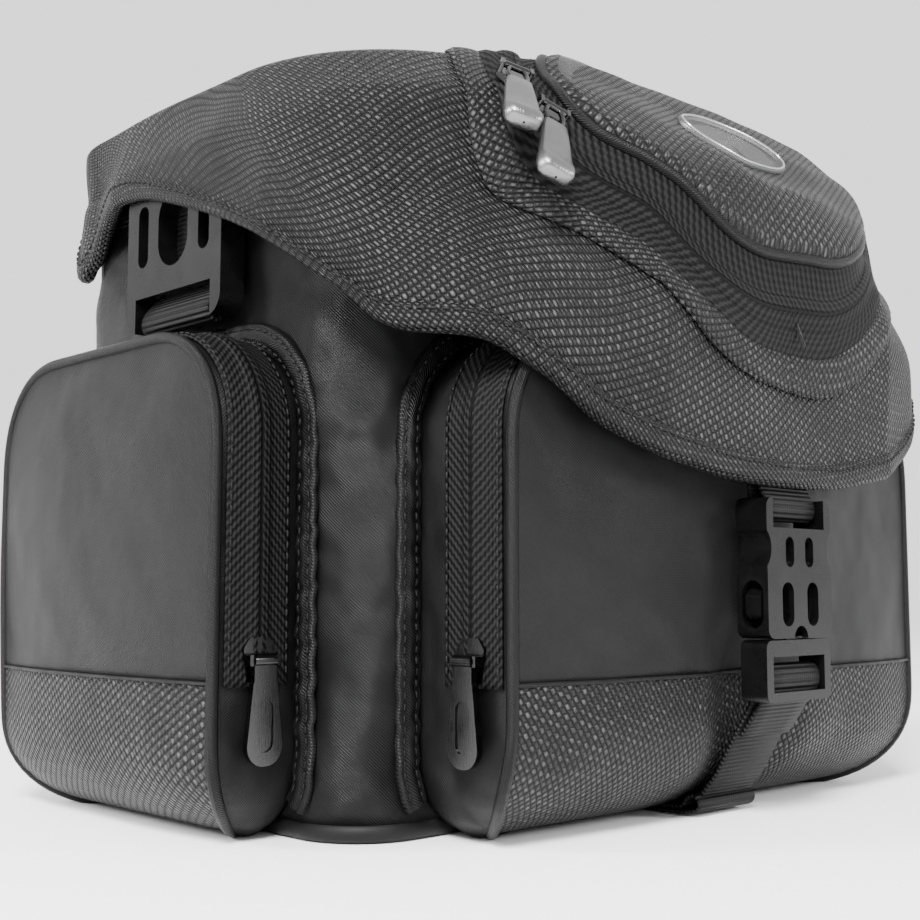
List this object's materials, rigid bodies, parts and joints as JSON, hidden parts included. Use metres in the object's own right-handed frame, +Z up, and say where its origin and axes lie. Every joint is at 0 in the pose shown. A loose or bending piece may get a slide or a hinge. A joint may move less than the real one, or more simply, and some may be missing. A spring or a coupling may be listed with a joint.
{
  "type": "camera bag",
  "caption": "Soft shoulder-style camera bag with a full flap lid, side and front zip pockets, and a front release buckle.",
  "frame": {"origin": "centre of the body's underside, on the surface the bag stands on", "axes": "+Z up, -Y out of the front pocket, +X to the right of someone facing the front"},
  "size_m": [0.307, 0.2238, 0.243],
  "materials": {
    "nylon": "smooth satin nylon",
    "ballistic": "coarse woven ballistic nylon",
    "lining": "brushed lining",
    "foam": "padded",
    "binding": "woven tape",
    "zip": "zip tape with moulded teeth",
    "webbing": "ribbed webbing",
    "board": "matt",
    "plastic": "satin moulded",
    "gunmetal": "satin gunmetal",
    "silver": "satin",
    "badge": "satin",
    "base": "matt coated"
  },
  "bodies": {
    "bag": {"base_panel": "base", "body_shell": "nylon", "base_board": "board", "padded_liner": "foam", "divider_left": "foam", "divider_right": "foam", "rim_binding": "binding", "hinge_welt": "nylon", "side_web_left": "webbing", "side_web_right": "webbing", "strap_anchor_tab": "webbing", "left_pocket_shell": "nylon", "left_pocket_boot": "ballistic", "left_pocket_flange": "nylon", "left_pocket_zip_tape": "zip", "left_pocket_piping": "nylon", "right_pocket_shell": "nylon", "right_pocket_boot": "ballistic", "right_pocket_flange": "nylon", "right_pocket_zip_tape": "zip", "right_pocket_piping": "nylon", "front_pocket_shell": "nylon", "front_pocket_boot": "ballistic", "front_pocket_flange": "nylon", "front_pocket_zip_tape": "zip", "front_pocket_piping": "nylon"},
    "lid": {"lid_shell": "ballistic", "lid_lining": "lining", "lid_hem_binding": "ballistic", "lid_pocket_panel": "ballistic", "lid_pocket_piping": "nylon", "lid_pocket_zip_tape": "zip", "lid_pocket_flange": "ballistic", "badge": "badge", "buckle_tab": "webbing"},
    "upper_buckle": {"buckle_female": "plastic"},
    "strap": {"strap_web": "webbing"},
    "lower_buckle": {"buckle_male": "plastic"},
    "left_prong": {"prong_left": "plastic"},
    "right_prong": {"prong_right": "plastic"},
    "left_side_buckle": {"side_buckle_left": "plastic"},
    "right_side_buckle": {"side_buckle_right": "plastic"},
    "left_slider": {"left_pocket_slider": "gunmetal"},
    "left_puller": {"left_pocket_puller": "gunmetal"},
    "right_slider": {"right_pocket_slider": "gunmetal"},
    "right_puller": {"right_pocket_puller": "gunmetal"},
    "front_slider": {"front_pocket_slider": "gunmetal"},
    "front_puller": {"front_pocket_puller": "gunmetal"},
    "lid_upper_slider": {"lid_slider_upper": "gunmetal"},
    "lid_upper_puller": {"lid_puller_upper": "silver"},
    "lid_lower_slider": {"lid_slider_lower": "gunmetal"},
    "lid_lower_puller": {"lid_puller_lower": "silver"}
  },
  "joints": [
    {"name": "lid_hinge", "type": "hinge", "parent": "bag", "child": "lid", "pos_m": [0, 0.0825, 0.204], "axis": [-1, 0, 0], "range_deg": [0, 100]},
    {"name": "upper_buckle_swing", "type": "hinge", "parent": "lid", "child": "upper_buckle", "pos_m": [0, -0.1335, 0.0923], "axis": [-1, 0, 0], "range_deg": [-38, 0]},
    {"name": "strap_swing", "type": "hinge", "parent": "bag", "child": "strap", "pos_m": [0, -0.108, 0.0046], "axis": [1, 0, 0], "range_deg": [0, 35]},
    {"name": "lower_buckle_tilt", "type": "hinge", "parent": "strap", "child": "lower_buckle", "pos_m": [0, -0.1335, 0.044], "axis": [-1, 0, 0], "range_deg": [0, 25]},
    {"name": "left_prong_squeeze", "type": "hinge", "parent": "lower_buckle", "child": "left_prong", "pos_m": [-0.0094, -0.1335, 0.056], "axis": [0, 1, 0], "range_deg": [0, 6], "stiffness_Nm_per_rad": 0.05},
    {"name": "right_prong_squeeze", "type": "hinge", "parent": "lower_buckle", "child": "right_prong", "pos_m": [0.0094, -0.1335, 0.056], "axis": [0, -1, 0], "range_deg": [0, 6], "stiffness_Nm_per_rad": 0.05},
    {"name": "left_side_buckle_swing", "type": "hinge", "parent": "bag", "child": "left_side_buckle", "pos_m": [-0.1312, -0.004, 0.1524], "axis": [0, -1, 0], "range_deg": [0, 30]},
    {"name": "right_side_buckle_swing", "type": "hinge", "parent": "bag", "child": "right_side_buckle", "pos_m": [0.1312, -0.004, 0.1524], "axis": [0, 1, 0], "range_deg": [0, 30]},
    {"name": "left_zip", "type": "slide", "parent": "bag", "child": "left_slider", "axis": [0, 0, 1], "range_m": [0, 0.045]},
    {"name": "right_zip", "type": "slide", "parent": "bag", "child": "right_slider", "axis": [0, 0, 1], "range_m": [0, 0.045]},
    {"name": "front_zip", "type": "slide", "parent": "bag", "child": "front_slider", "axis": [0, 0, 1], "range_m": [0, 0.045]},
    {"name": "left_puller_swing", "type": "hinge", "parent": "left_slider", "child": "left_puller", "pos_m": [-0.13975, -0.062, 0.05], "axis": [-1, 0, 0], "range_deg": [0, 110]},
    {"name": "right_puller_swing", "type": "hinge", "parent": "right_slider", "child": "right_puller", "pos_m": [0.13975, -0.062, 0.05], "axis": [-1, 0, 0], "range_deg": [0, 110]},
    {"name": "front_puller_swing", "type": "hinge", "parent": "front_slider", "child": "front_puller", "pos_m": [-0.1057, -0.10425, 0.05], "axis": [0, 1, 0], "range_deg": [0, 110]},
    {"name": "lid_zip_upper", "type": "slide", "parent": "lid", "child": "lid_upper_slider", "axis": [0.0545, 0.6533, 0.7551], "range_m": [0, 0.016]},
    {"name": "lid_zip_lower", "type": "slide", "parent": "lid", "child": "lid_lower_slider", "axis": [0.4326, -0.4815, -0.7623], "range_m": [0, 0.01]},
    {"name": "lid_upper_puller_swing", "type": "hinge", "parent": "lid_upper_slider", "child": "lid_upper_puller", "pos_m": [-0.09035, -0.10936, 0.21374], "axis": [-0.8748, 0.4107, 0.2571], "range_deg": [0, 100]},
    {"name": "lid_lower_puller_swing", "type": "hinge", "parent": "lid_lower_slider", "child": "lid_lower_puller", "pos_m": [-0.08547, -0.11895, 0.20113], "axis": [-0.8945, 0.2753, 0.3522], "range_deg": [0, 100]}
  ],
  "couplings": [
    {"joint": "upper_buckle_swing", "follows": "lid_hinge", "ratio": -0.38},
    {"joint": "strap_swing", "follows": "lid_hinge", "ratio": 0.35},
    {"joint": "lower_buckle_tilt", "follows": "lid_hinge", "ratio": 0.25},
    {"joint": "left_side_buckle_swing", "follows": "lid_hinge", "ratio": 0.3},
    {"joint": "right_side_buckle_swing", "follows": "lid_hinge", "ratio": 0.3},
    {"joint": "right_prong_squeeze", "follows": "left_prong_squeeze", "ratio": 1}
  ]
}
